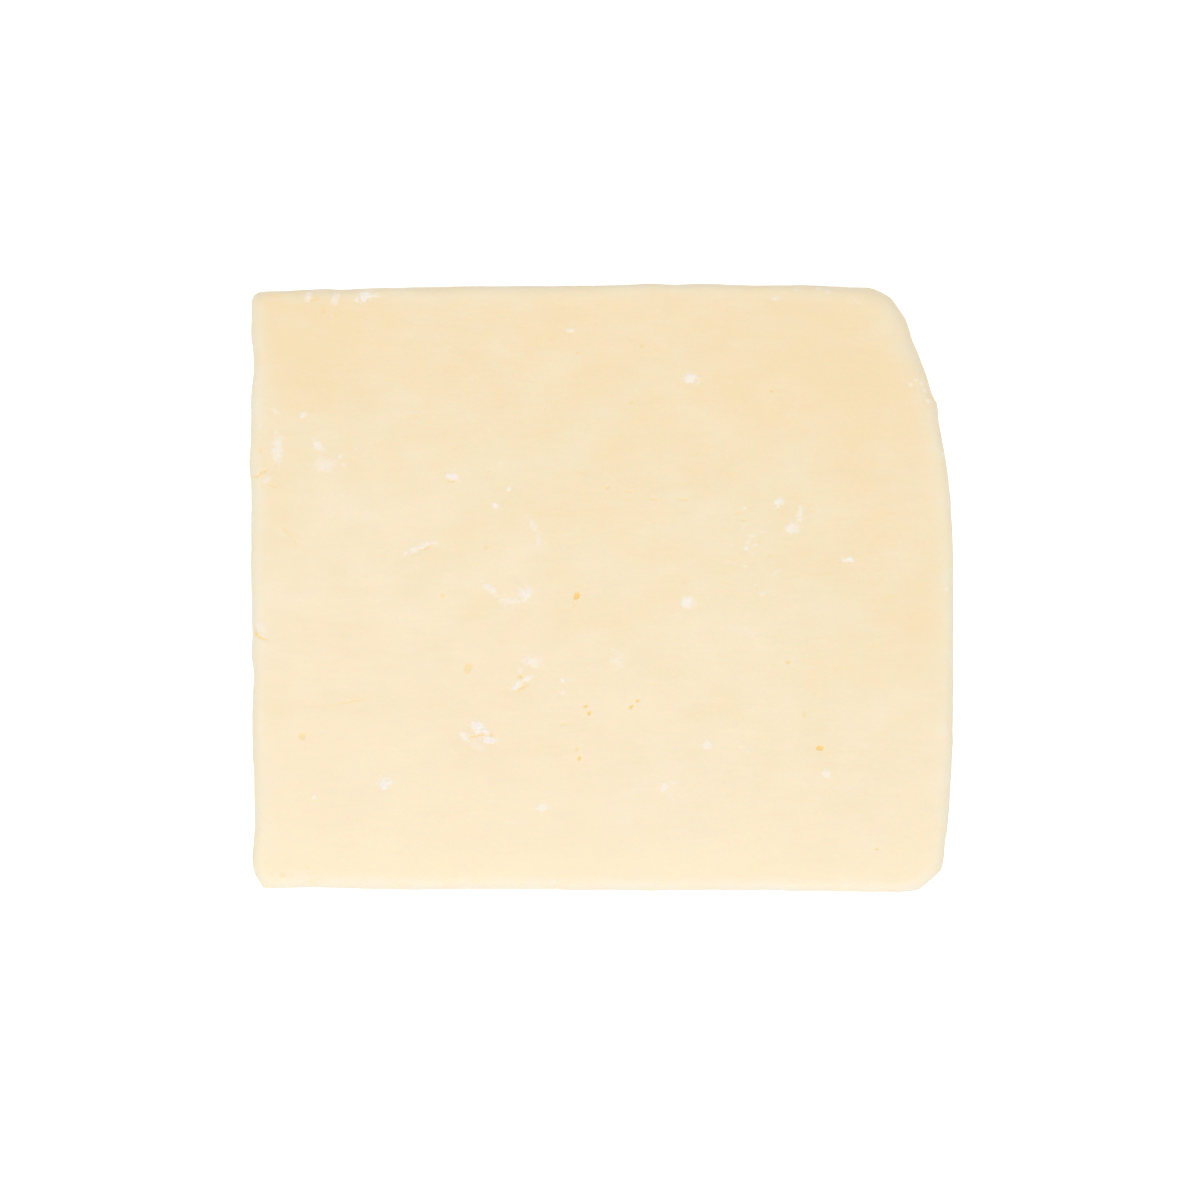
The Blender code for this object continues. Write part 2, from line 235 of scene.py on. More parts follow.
def rimWidth(place, heading):
    lengthwise = form["rimExtraRight"] if heading.x > 0 else form["rimExtraLeft"]
    crosswise = form["rimExtraFar"] if heading.y > 0 else form["rimExtraNear"]
    width = form["rimReach"] + lengthwise * heading.x ** 2 + crosswise * heading.y ** 2
    width += form["rimExtraSlump"] * slumpNearness(place)
    return width * (1 + form["rimSwing"] * noise.noise(place.to_3d() / form["rimSwingSize"]))


def wallInset(place, share):
    spot = Vector((place.x, place.y, share * cadSize.z))
    wave = evenNoise(spot / form["wallWaveSize"])
    leanSpot = place.to_3d() / form["wallLeanSize"] + Vector(form["wallLeanShift"])
    lean = form["wallLean"] * (1 - share) * evenNoise(leanSpot)
    return lean + form["wallHollow"] * wave * math.sin(math.pi * share)


def rimPoint(place, heading, turn):
    reach = rimWidth(place, heading)
    spot = place - heading * reach * (1 - max(0.0, math.cos(turn)) ** form["rimEasing"])
    drop = reach * form["rimDropRatio"] * (1 - math.sin(turn) ** form["rimEasing"])
    return Vector((spot.x, spot.y, topHeight(spot.x, spot.y) - drop))


def wallPoint(place, heading, share):
    top = rimPoint(place, heading, 0.0).z
    spot = place - heading * wallInset(place, share)
    return Vector((spot.x, spot.y, form["footDrop"] + (top - form["footDrop"]) * share))


def footPoint(place, heading, turn):
    spot = place - heading * (wallInset(place, 0.0) + form["footReach"] * (1 - math.sin(turn)))
    lift = underHeight(spot.x, spot.y) * math.cos(turn)
    return Vector((spot.x, spot.y, lift + form["footDrop"] * (1 - math.cos(turn))))


# a ring of points round the block, counted up from the underside; it is evened out the more,
# the further it lies from the outline, so that it doesn't fold over at the slump's notch
def makeRing(outline, headings, level):
    foot, high, rim = form["footSteps"], form["cellsHigh"], form["rimSteps"]
    if level <= foot:
        ring = [footPoint(p, h, quarterTurn * level / foot) for p, h in zip(outline, headings)]
    elif level <= foot + high:
        ring = [wallPoint(p, h, (level - foot) / high) for p, h in zip(outline, headings)]
    else:
        turn = quarterTurn * (level - foot - high) / rim
        ring = [rimPoint(p, h, turn) for p, h in zip(outline, headings)]
    passes = min(abs(level - foot - high) * form["ringEasing"], form["ringEasingMost"])
    count = len(ring)
    for _ in range(passes):
        ring = [(ring[i - 1] + ring[i] * 2 + ring[(i + 1) % count]) / 4 for i in range(count)]
    return ring


# a point of the top or the underside, blended between its four edges
def patchPoint(sides, column, row):
    near, right, far, left = sides
    cellsLong, cellsWide = form["cellsLong"], form["cellsWide"]
    u, v = column / cellsLong, row / cellsWide
    across = near[column].lerp(far[cellsLong - column], v)
    along = left[cellsWide - row].lerp(right[row], u)
    return across + along - near[0].lerp(right[0], u).lerp(left[0].lerp(far[0], u), v)


# a unit box whose top and underside are grids and whose wall is cut into rings
def addBoxOfCells(levels):
    bpy.ops.object.select_all(action="DESELECT")
    bpy.ops.mesh.primitive_grid_add(x_subdivisions=form["cellsLong"],
                                    y_subdivisions=form["cellsWide"], size=1, location=(0, 0, 0))
    obj = bpy.context.object
    bpy.ops.object.mode_set(mode="EDIT")
    bpy.ops.mesh.select_mode(type="EDGE")
    bpy.ops.mesh.select_all(action="SELECT")
    bpy.ops.mesh.extrude_region_move(TRANSFORM_OT_translate={"value": (0, 0, 1)})
    bpy.ops.mesh.select_all(action="DESELECT")
    mesh = bmesh.from_edit_mesh(obj.data)
    for edge in mesh.edges:
        if edge.verts[0].co.z != edge.verts[1].co.z:  # the upright edges
            edge.select_set(True)
    bmesh.update_edit_mesh(obj.data)
    bpy.ops.mesh.subdivide(number_cuts=levels - 1)
    bpy.ops.object.mode_set(mode="OBJECT")
    return obj


def makeBlock():
    cellsLong, cellsWide = form["cellsLong"], form["cellsWide"]
    levels = form["footSteps"] + form["cellsHigh"] + form["rimSteps"]
    counts = [cellsLong, cellsWide, cellsLong, cellsWide]
    outline = planRing(counts)
    outline = crumbleRing(outline, outwardHeadings(outline))
    headings = outwardHeadings(outline)
    count = len(outline)
    rings = [makeRing(outline, headings, level) for level in range(levels + 1)]
    edges = {}
    for level in (0, levels):
        first, edges[level] = 0, []
        for cells in counts:
            edges[level].append([rings[level][(first + i) % count].xy for i in range(cells + 1)])
            first += cells

    obj = addBoxOfCells(levels)
    obj.name = obj.data.name = "cheddar_block_skin"
    for point in obj.data.vertices:
        column = round((point.co.x + 0.5) * cellsLong)
        row = round((point.co.y + 0.5) * cellsWide)
        level = round(point.co.z * levels)
        index = None
        if row == 0:
            index = column
        elif column == cellsLong:
            index = cellsLong + row
        elif row == cellsWide:
            index = 2 * cellsLong + cellsWide - column
        elif column == 0:
            index = count - row
        if index is not None:
            point.co = rings[level][index % count]
        else:
            place = patchPoint(edges[level], column, row)
            point.co = (place.x, place.y, topHeight(*place) if level else underHeight(*place))
    return obj, outline, headings


block, blockRing, blockHeadings = makeBlock()
print("stage: block shaped,", len(block.data.polygons), "cells")


# Marks in the skin, as x and y of the middle, length and width (mm), turn (degrees), strength.
# A flake is curd torn up into a pale crumb, a pit a small deep hole, a crack a thin slit, and a
# scrape a pale dry line.
topMarks = {
    "flake": [
        (13.4, 31.2, 2.3, 1.6, 8, 1.0), (-35.2, 43.6, 3.2, 1.7, 15, 1.0),
        (-48.3, 20.8, 4.7, 1.9, 84, 0.7), (-42.3, 21.3, 2.3, 1.3, -45, 0.7),
        (-41.3, 18.4, 3.7, 2.1, 6, 0.6), (-39.0, 19.6, 0.9, 0.7, 60, 0.7),
        (-22.3, 16.7, 1.9, 1.2, -12, 1.0), (-13.9, 14.7, 0.9, 0.7, 30, 0.9),
        (-15.9, 12.3, 1.0, 0.9, 0, 1.0), (-10.2, 9.4, 3.0, 0.9, -58, 0.5),
        (-9.4, 7.0, 2.6, 0.8, -88, 0.4), (-27.2, 6.1, 4.3, 1.0, 20, 0.8),
        (-16.6, -0.1, 2.9, 1.0, -42, 0.7), (-13.5, -1.9, 3.8, 1.1, -3, 0.6),
        (-11.2, -0.9, 2.6, 1.7, 48, 0.8), (-10.2, -11.0, 3.0, 1.6, -15, 0.7),
        (-12.1, -12.3, 1.0, 0.9, 60, 0.5), (-11.0, -13.5, 1.8, 1.0, 30, 0.9),
        (-12.6, -14.5, 2.4, 1.0, 34, 0.9), (-18.4, -20.8, 2.6, 1.7, -25, 1.0),
        (-17.3, -21.5, 1.5, 0.8, -30, 0.9), (-20.5, -22.1, 2.0, 1.0, -28, 0.8),
        (-17.0, -22.7, 1.9, 1.3, 10, 1.0), (-18.7, -23.4, 2.2, 1.5, -15, 0.4),
        (-32.4, -29.3, 2.0, 1.6, 20, 1.0), (-42.9, -31.2, 0.9, 0.8, 0, 0.7),
        (12.9, -2.1, 2.1, 1.8, 40, 1.0), (2.3, -10.8, 2.6, 2.2, 70, 0.4),
        (-5.7, -13.7, 0.9, 0.8, 0, 0.9), (-5.7, -15.6, 0.9, 0.7, 0, 0.6),
        (29.6, 11.1, 2.8, 1.0, 82, 0.7), (28.4, 9.0, 2.3, 1.9, 20, 0.8),
        (26.4, 12.8, 1.8, 1.2, 65, 0.8), (36.9, 4.3, 2.1, 1.0, -6, 1.0),
        (21.6, 6.0, 0.9, 0.7, 20, 0.8), (22.8, 6.4, 1.3, 0.4, 15, 0.4),
        (23.9, 8.4, 0.7, 0.6, 0, 0.5), (25.7, 2.1, 0.7, 0.5, 0, 0.5),
        (25.6, 3.7, 0.8, 0.4, 10, 0.3), (15.8, -23.4, 1.6, 1.3, 30, 0.8),
        (9.4, -29.7, 1.6, 1.1, 60, 0.7), (33.6, -27.8, 1.5, 1.1, -30, 0.8),
        (-8.8, -32.9, 1.9, 1.2, 15, 0.7), (-4.6, 38.4, 1.3, 0.8, 0, 0.7),
        (-44.5, 25.9, 1.2, 0.9, 40, 0.8), (-7.2, -44.0, 1.6, 0.8, 0, 0.5),
        (46.2, 30.4, 0.8, 0.7, 0, 0.5), (47.0, 31.2, 0.7, 0.7, 0, 0.5),
        (48.9, 28.0, 1.2, 0.9, -40, 0.8), (-14.8, 18.7, 1.1, 0.6, 30, 0.3),
        (-49.9, 16.2, 1.7, 0.8, 20, 0.5), (-43.7, 43.7, 2.0, 1.2, 80, 0.7),
        (-39.7, 43.2, 2.0, 1.2, 85, 0.6), (-38.6, 18.4, 0.9, 0.7, 0, 0.6),
        (-36.6, 20.8, 0.8, 0.6, 0, 0.4), (-48.6, 26.4, 1.6, 0.7, -30, 0.4),
        (-50.9, -5.8, 3.0, 1.0, -45, 0.5), (10.6, -29.1, 1.2, 0.8, 20, 0.4),
        (21.9, -24.4, 0.7, 0.6, 0, 0.4), (20.8, -23.7, 0.7, 0.6, 0, 0.4),
        (29.0, 44.6, 0.8, 0.6, 0, 0.6), (32.5, 44.7, 1.0, 0.6, 10, 0.5),
        (33.8, 44.3, 0.8, 0.6, 0, 0.5), (25.9, 43.2, 1.1, 0.7, 20, 0.6),
        (47.9, 30.6, 1.0, 0.7, -60, 0.6), (48.3, 29.6, 0.8, 0.7, 0, 0.5),
        (51.6, -0.2, 0.9, 0.6, 80, 0.5), (50.9, 19.8, 0.9, 0.6, 80, 0.4),
        (-51.6, 30.4, 0.8, 0.6, 80, 0.4), (-51.0, 24.2, 0.9, 0.6, 60, 0.4),
    ],
    "pit": [
        (-3.7, -1.2, 1.3, 1.0, 80, 1.0), (-19.9, -12.0, 1.9, 1.5, 60, 0.4),
        (-44.7, -22.1, 1.4, 1.2, 80, 0.4), (-2.4, -17.7, 1.2, 0.5, 20, 0.8),
        (-1.8, -18.7, 0.9, 0.6, 70, 1.0), (4.4, -17.8, 1.0, 0.5, 40, 1.0),
        (5.4, -16.8, 0.7, 0.5, 40, 0.9), (-3.3, -25.4, 1.0, 0.6, 80, 0.8),
        (-3.7, -24.0, 1.0, 0.7, 70, 0.4), (32.6, -23.9, 1.3, 0.8, 0, 1.0),
        (27.8, -11.1, 0.8, 0.6, 0, 0.7), (30.3, -18.9, 1.2, 0.6, 78, 0.5),
        (0.9, 15.0, 0.8, 0.6, 20, 0.5), (-3.6, 35.1, 0.7, 0.6, 0, 0.5),
        (-17.2, 6.1, 0.8, 0.6, 0, 0.4), (-23.7, -1.1, 1.0, 0.7, 0, 0.4),
        (6.0, 36.1, 0.8, 0.6, 60, 0.4), (4.5, 27.7, 0.8, 0.6, 0, 0.4),
        (-41.4, 41.5, 1.4, 0.8, 50, 0.3), (-39.6, 40.7, 1.2, 0.6, 80, 0.3),
        (-12.1, -13.3, 0.7, 0.6, 0, 0.8), (-16.4, -22.0, 0.7, 0.6, 60, 0.7),
        (41.1, -39.0, 0.6, 0.5, 0, 0.6), (25.4, 29.4, 0.6, 0.5, 0, 0.6),
        (-47.6, -42.8, 1.1, 0.8, 0, 0.25), (-44.0, -41.6, 1.2, 0.7, -30, 0.15),
        (-43.3, -44.0, 1.4, 0.6, 0, 0.15), (-42.8, 43.2, 1.6, 1.0, 30, 0.3),
        (-51.0, 20.6, 1.3, 0.9, 80, 0.3),
    ],
    "crack": [
        (-18.5, -22.1, 2.8, 0.5, 12, 1.0), (-11.7, -14.8, 2.3, 0.5, 26, 0.9),
        (-22.5, 15.9, 2.0, 0.5, -8, 0.9), (-26.5, 5.9, 3.2, 0.4, 20, 0.7),
        (-4.2, -2.8, 1.4, 0.4, 62, 0.5), (4.2, 14.4, 2.2, 0.4, -8, 0.5),
        (7.8, 13.3, 3.0, 0.5, -2, 0.4), (12.2, 13.2, 1.9, 0.6, -6, 0.4), (5.2, 31.9, 8.0, 0.4, 80, 0.2),
        (-27.9, 25.3, 2.6, 0.9, -14, 0.3), (-46.6, 39.6, 2.8, 0.6, -84, 0.3),
        (-50.9, -7.3, 3.2, 0.7, -31, 1.0), (-49.0, 15.2, 1.6, 0.5, -14, 0.6),
        (-50.9, 17.1, 3.4, 0.6, 27, 0.8), (-46.4, 7.7, 5.0, 0.6, -50, 0.4),
        (-37.5, -17.0, 5.4, 0.5, 12, 0.5), (-42.0, -17.6, 5.6, 0.4, 3, 0.25),
        (-33.6, -11.9, 9.6, 0.4, 9, 0.25),
        (43.8, -20.5, 11.0, 0.8, 37, 0.15), (-5.3, -20.3, 2.6, 0.4, 10, 0.4),
        (34.6, -29.3, 4.6, 0.4, 44, 0.35), (30.3, -31.9, 5.0, 0.4, 4, 0.3),
        (49.2, 28.4, 2.4, 0.6, -44, 0.4), (29.3, 13.3, 2.4, 0.5, -10, 0.25),
        (-10.6, 7.9, 1.8, 0.4, -60, 0.3), (-16.9, 17.3, 1.0, 0.4, 30, 0.5),
        (-47.3, 43.7, 5.4, 0.9, 2, 0.35), (35.1, 10.3, 2.0, 0.8, 0, 0.25),
        (30.9, 12.6, 3.0, 0.8, -14, 0.35), (31.9, 14.6, 2.2, 0.6, 80, 0.25),
        (31.4, 11.6, 2.0, 0.5, 4, 0.35),
    ],
    "scrape": [
        (26.2, 43.4, 1.6, 0.5, -20, 0.6), (38.1, 42.8, 2.9, 0.5, -30, 0.6),
        (-12.6, 13.3, 3.0, 0.4, -40, 0.35), (-11.1, 5.3, 3.6, 0.5, -82, 0.3),
        (13.0, -32.2, 3.6, 0.6, -8, 0.3), (10.4, -31.2, 2.8, 0.7, -50, 0.45),
        (37.5, -29.6, 2.4, 0.5, 42, 0.45), (-13.0, -35.1, 3.9, 1.1, 5, 0.4),
        (-10.8, -9.3, 2.4, 0.4, 10, 0.3), (13.5, 21.7, 1.5, 0.9, 0, 0.25),
        (28.4, 25.9, 1.9, 1.2, 0, 0.25), (21.6, -23.9, 1.7, 1.0, 0, 0.3),
        (-47.7, 8.3, 2.6, 0.6, -45, 0.4), (-25.4, 7.4, 3.6, 0.4, 24, 0.35),
        (2.0, -9.2, 2.0, 0.6, 6, 0.3), (24.6, 9.6, 3.2, 0.4, 22, 0.25),
        (-40.1, 41.2, 3.0, 0.5, 85, 0.3), (-33.5, 38.0, 5.5, 0.4, 8, 0.2), (17.5, -40.2, 6.0, 0.4, -3, 0.2),
        (-26.0, -38.5, 7.0, 0.4, 2, 0.2), (8.0, 39.7, 6.4, 0.4, 3, 0.2),
    ],
}
markForm = {
    "ragged": 0.55 * mm, "raggedFrom": 0.9 * mm,  # size of the notches, and of the marks that have them
    "fineness": 1.9,  # how much finer the crumbs' own unevenness is than the notches
    "lengthReach": 1.8, "widthReach": 2.4, "depthReach": 2.0 * mm,  # where a mark can change the skin
    "seed": 23,
}
# Profiles, in half lengths and half widths of the mark: where an edge lies and how soft it is.
# Heights are real, and at most a share of the half width.
flakeForm = {
    "ragged": 0.7, "edge": 1.45, "soft": 1.15, "lift": 0.10 * mm, "liftShare": 0.3,
    "crumbLeast": 0.6, "crumbSwing": 0.9,
    # the dug side of a crumb gets deep yellow painted shadow, by this much
    "dugAt": 1.1, "dugSoft": 0.4, "dugDepth": 0.05 * mm, "dugShare": 0.2, "dugShade": 0.06,
}
pitForm = {
    "ragged": 0.4, "edge": 1.05, "soft": 0.8, "depth": 0.26 * mm, "depthShare": 0.45,
    # where the deep yellow painted shade of a pit ends, a little past its hole
    "shadeEdge": 1.2, "shadeSoft": 0.7,
}
lineForm = {
    "ragged": 0.9, "endSoft": 0.5, "soft": 0.9, "least": 0.65, "swing": 0.8, "lowest": -0.4,
    "crackDepth": 0.10 * mm, "scrapeDepth": 0.03 * mm, "scrapePale": 0.8,
    "lipAt": 1.3, "lipSoft": 0.5, "lipShare": 0.12,
}
# The scattered marks: how many, and from what to what their sizes (mm), strengths and turns go
crumblyPatch = {
    "count": 30, "kinds": ["flake", "crack", "scrape"], "middle": (22.6, 5.6), "reach": (4.4, 7.0),
    "long": (0.6, 1.5), "wide": (0.3, 0.6), "strength": (0.25, 0.55), "turn": (-20, 50),
}
specks = {
    "count": 44, "kinds": ["crack", "pit", "scrape", "crack"], "margin": 0.45, "pitLong": (0.4, 0.8),
    "long": (0.9, 3.2), "wide": (0.3, 0.5), "strength": (0.12, 0.3), "turn": 5, "turnSwing": 25,
}
hiddenMarks = {
    "onWalls": 88, "wallLow": 0.03, "wallHigh": 0.97,
    "underneath": 28, "underLow": -0.45, "underHigh": 0.4275,
    "kinds": ["flake", "scrape", "pit", "flake", "crack", "scrape", "flake", "pit"],
    "flake": {"long": (0.8, 3.0), "wideShare": (0.35, 0.8), "strength": (0.4, 1.0)},
    "pit": {"long": (0.6, 1.4), "wideShare": (0.6, 0.9), "strength": (0.4, 1.0)},
    "scrape": {"long": (1.5, 6.0), "wide": (0.5, 0.9), "strength": (0.3, 0.65)},
    "crack": {"long": (1.6, 5.0), "thin": 0.5, "strength": (0.35, 0.9)},
}
# Cells are split up to three times round the marks: all, then the clear or upper ones, then the
# narrow upper ones
fineCells = {
    "firstMargin": 0.5 * mm, "secondMargin": 0.22 * mm, "clearFrom": 0.4,
    "thirdMargin": 0.08 * mm, "narrowUpTo": 0.9 * mm, "faintUpTo": 0.35,
}


# the skin's height over a point of the plan, lower where the rim rounds off
def topSpot(x, y):
    place = Vector((x, y))
    index = min(range(len(blockRing)), key=lambda i: (blockRing[i] - place).length)
    inside = (blockRing[index] - place).dot(blockHeadings[index])
    reach = rimWidth(blockRing[index], blockHeadings[index])
    turn = math.acos(min(1.0, max(0.0, 1 - inside / reach)) ** (1 / form["rimEasing"]))
    drop = reach * form["rimDropRatio"] * (1 - math.sin(turn) ** form["rimEasing"])
    return Vector((x, y, topHeight(x, y) - drop))


# along, across and away from the skin at a mark; on a wall, no turn is level
def surfaceAxes(out, turn):
    away = out.normalized()
    level = Vector((1, 0, 0)) if abs(away.z) > facingUp else up.cross(away)
    along = Matrix.Rotation(math.radians(turn), 3, away) @ level.normalized()
    return along, away.cross(along), away


# length, width and strength of a mark on the wall or underneath
def drawSize(draw, kind):
    sizes = hiddenMarks[kind]
    long = draw.uniform(*sizes["long"])
    if "wideShare" in sizes:
        wide = long * draw.uniform(*sizes["wideShare"])
    elif "wide" in sizes:
        wide = draw.uniform(*sizes["wide"])
    else:
        wide = sizes["thin"]
    return long, wide, draw.uniform(*sizes["strength"])


# a mark is its kind, place, axes, half length, half width and strength
def makeMark(kind, spot, axes, size):
    long, wide, strength = size
    return kind, spot, axes, long / 2 * mm, wide / 2 * mm, strength


# the marks that the photo shows
def seenMarks():
    return [makeMark(kind, topSpot(x * mm, y * mm), surfaceAxes(up, turn), (long, wide, strength))
            for kind, rows in topMarks.items() for x, y, long, wide, turn, strength in rows]


def crumblyMarks(draw):
    made = []
    middleX, middleY = crumblyPatch["middle"]
    reachX, reachY = crumblyPatch["reach"]
    for number in range(crumblyPatch["count"]):
        angle, share = draw.uniform(0, 2 * math.pi), math.sqrt(draw.random())
        spot = topSpot((middleX + reachX * share * math.cos(angle)) * mm,
                       (middleY + reachY * share * math.sin(angle)) * mm)
        size = [draw.uniform(*crumblyPatch[name]) for name in ("long", "wide", "strength")]
        kind = crumblyPatch["kinds"][number % len(crumblyPatch["kinds"])]
        made.append(makeMark(kind, spot, surfaceAxes(up, draw.uniform(*crumblyPatch["turn"])), size))
    return made


def speckMarks(draw):
    made = []
    for number in range(specks["count"]):
        x, y = (draw.uniform(-specks["margin"], specks["margin"]) * side for side in cadSize.xy)
        kind = specks["kinds"][number % len(specks["kinds"])]
        long = draw.uniform(*specks["pitLong" if kind == "pit" else "long"])
        size = long, draw.uniform(*specks["wide"]), draw.uniform(*specks["strength"])
        axes = surfaceAxes(up, draw.gauss(specks["turn"], specks["turnSwing"]))
        made.append(makeMark(kind, topSpot(x, y), axes, size))
    return made


def wallMarks(draw):
    made = []
    whole, count = len(blockRing), hiddenMarks["onWalls"]
    for number in range(count):
        index = int((number + draw.random()) / count * whole) % whole
        share = draw.uniform(hiddenMarks["wallLow"], hiddenMarks["wallHigh"])
        spot = wallPoint(blockRing[index], blockHeadings[index], share)
        kind = hiddenMarks["kinds"][number % len(hiddenMarks["kinds"])]
        size = drawSize(draw, kind)
        axes = surfaceAxes(blockHeadings[index].to_3d(), draw.uniform(-90, 90))
        made.append(makeMark(kind, spot, axes, size))
    return made


def underMarks(draw):
    made = []
    for number in range(hiddenMarks["underneath"]):
        x = draw.uniform(hiddenMarks["underLow"], hiddenMarks["underHigh"]) * cadSize.x
        y = draw.uniform(hiddenMarks["underLow"], hiddenMarks["underHigh"]) * cadSize.y
        kind = hiddenMarks["kinds"][number % len(hiddenMarks["kinds"])]
        size = drawSize(draw, kind)
        axes = surfaceAxes(-up, draw.uniform(-90, 90))
        made.append(makeMark(kind, Vector((x, y, underHeight(x, y))), axes, size))
    return made


def allMarks():
    draw = random.Random(markForm["seed"])
    return seenMarks() + crumblyMarks(draw) + speckMarks(draw) + wallMarks(draw) + underMarks(draw)


# split the cells that lie within a margin of a mark
def refineAround(obj, marks, margin):
    centres = np.zeros(len(obj.data.polygons) * 3, np.float32)
    obj.data.polygons.foreach_get("center", centres)
    centres = centres.reshape(-1, 3)
    chosen = np.zeros(len(centres), bool)
    for kind, spot, axes, halfLong, halfWide, strength in marks:
        offset = centres - np.array(spot, np.float32)
        along, across, away = (np.abs(offset @ np.array(axis, np.float32)) for axis in axes)
        chosen |= ((along < halfLong + margin) & (across < halfWide + margin)
                   & (away < markForm["depthReach"]))
    onlySelect(obj)
    bpy.ops.object.mode_set(mode="EDIT")
    bpy.ops.mesh.select_mode(type="FACE")
    bpy.ops.mesh.select_all(action="DESELECT")
    mesh = bmesh.from_edit_mesh(obj.data)
    mesh.faces.ensure_lookup_table()
    for index in np.flatnonzero(chosen):
        mesh.faces[index].select_set(True)
    bmesh.update_edit_mesh(obj.data)
    bpy.ops.mesh.subdivide(number_cuts=1)
    bpy.ops.object.mode_set(mode="OBJECT")


def isClearOrUpper(mark):
    kind, spot, axes, halfLong, halfWide, strength = mark
    return strength > fineCells["clearFrom"] or axes[2].z > facingUp


def isNarrowAndUpper(mark):
    kind, spot, axes, halfLong, halfWide, strength = mark
    isNarrow = halfWide < fineCells["narrowUpTo"] and strength > fineCells["faintUpTo"]
    return isNarrow and axes[2].z > facingUp and kind != "scrape"


def smoothStep(value):
    value = min(1.0, max(0.0, value))
    return value * value * (3 - 2 * value)


def flakeShape(a, b, halfWide, ragged, fine):
    f = flakeForm
    r = math.hypot(a, b) + f["ragged"] * ragged
    body = smoothStep((f["edge"] - r) / f["soft"])
    # the dug side also gets the crumb's deep yellow painted shadow
    side = 0.5 - 0.5 * math.sin(math.atan2(b, a) + 1)  # the crumb is dug out on one side only
    dug = smoothStep(1 - abs(r - f["dugAt"]) / f["dugSoft"]) * side
    lift = min(f["lift"], f["liftShare"] * halfWide) * body * (f["crumbLeast"] + f["crumbSwing"] * fine)
    return lift - min(f["dugDepth"], f["dugShare"] * halfWide) * dug, body, f["dugShade"] * dug


def pitShape(a, b, halfWide, ragged):
    r = math.hypot(a, b) + pitForm["ragged"] * ragged
    hole = smoothStep((pitForm["edge"] - r) / pitForm["soft"])
    depth = min(halfWide * pitForm["depthShare"], pitForm["depth"])
    # the pit's deep yellow is painted shade and glow of the hollow
    return -depth * hole, 0.0, smoothStep((pitForm["shadeEdge"] - r) / pitForm["shadeSoft"])


def lineShape(kind, a, b, ragged, fine):
    f = lineForm
    b += f["ragged"] * ragged
    taper = smoothStep((1 - abs(a)) / f["endSoft"]) * (f["least"] + f["swing"] * max(f["lowest"], fine))
    line = smoothStep((1 - abs(b)) / f["soft"]) * taper
    if kind == "scrape":
        return -f["scrapeDepth"] * line, f["scrapePale"] * line, 0.0
    # a crack's lips stay pale, and its slit gets deep yellow painted shade
    lip = f["lipShare"] * smoothStep(1 - abs(abs(b) - f["lipAt"]) / f["lipSoft"]) * taper
    return (lip - line) * f["crackDepth"], lip, line


# lift, paleness and painted hollow shade at a point of a mark; a and b are in half lengths and widths,
# ragged and fine are noises
def markShape(kind, a, b, halfWide, ragged, fine):
    if kind == "flake":
        return flakeShape(a, b, halfWide, ragged, fine)
    if kind == "pit":
        return pitShape(a, b, halfWide, ragged)
    return lineShape(kind, a, b, ragged, fine)


# move the skin at every mark, and note where it is pale and where its hollows get painted shade
def pressMarks(obj, marks):
    places = readPoints(obj, "co")
    moved = places.copy()
    pale, deep = np.zeros(len(places), np.float32), np.zeros(len(places), np.float32)
    for number, (kind, spot, axes, halfLong, halfWide, strength) in enumerate(marks):
        offset = places - np.array(spot, np.float32)
        a = offset @ np.array(axes[0], np.float32) / halfLong
        b = offset @ np.array(axes[1], np.float32) / halfWide
        c = offset @ np.array(axes[2], np.float32)
        near = ((np.abs(a) < markForm["lengthReach"]) & (np.abs(b) < markForm["widthReach"])
                & (np.abs(c) < markForm["depthReach"]))
        for index in np.flatnonzero(near):
            place = Vector(places[index]) / markForm["ragged"]
            ragged = noise.noise(place + Vector((number, 0, 0)))
            ragged *= min(1.0, halfLong / markForm["raggedFrom"])
            fine = noise.noise(place * markForm["fineness"])
            lift, white, tint = markShape(kind, float(a[index]), float(b[index]), halfWide, ragged, fine)
            if axes[2].z < -facingUp:  # nothing stands out underneath
                lift = min(lift, 0.0)
            moved[index] += np.array(axes[2]) * lift * strength
            pale[index] = max(pale[index], white * strength)
            deep[index] = max(deep[index], tint * strength)
    obj.data.vertices.foreach_set("co", moved.ravel())
    writeAttribute(obj, "pale", pale)
    writeAttribute(obj, "deep", deep)
    obj.data.update()


# Low, fine unevenness all over the skin, in mm: size and depth of each wave, and of one drawn out
# along X as the wire went
skinRelief = {
    "waves": [(5.5, 0.045), (2.2, 0.022)], "dragSize": 1.5, "dragDepth": 0.020, "dragStretch": 0.18,
    "wallMore": 1.3,  # how much rougher the walls are than the top
}


def raiseSkin(obj):
    for point, normal in zip(obj.data.vertices, readPoints(obj, "normal")):
        place = point.co / mm
        lift = sum(noise.noise(place / size) * depth for size, depth in skinRelief["waves"])
        drawn = Vector((place.x * skinRelief["dragStretch"], place.y, place.z)) / skinRelief["dragSize"]
        lift += noise.noise(drawn) * skinRelief["dragDepth"]
        lift *= 1 + skinRelief["wallMore"] * (1 - abs(normal[2]))
        if normal[2] < -facingUp:
            lift = -abs(lift)
        point.co += Vector(normal) * lift * mm
    obj.data.update()


marks = allMarks()
refineAround(block, marks, fineCells["firstMargin"])
refineAround(block, [mark for mark in marks if isClearOrUpper(mark)], fineCells["secondMargin"])
refineAround(block, [mark for mark in marks if isNarrowAndUpper(mark)], fineCells["thirdMargin"])
raiseSkin(block)
pressMarks(block, marks)
print("stage: marks pressed,", len(marks), "marks,", len(block.data.polygons), "cells")


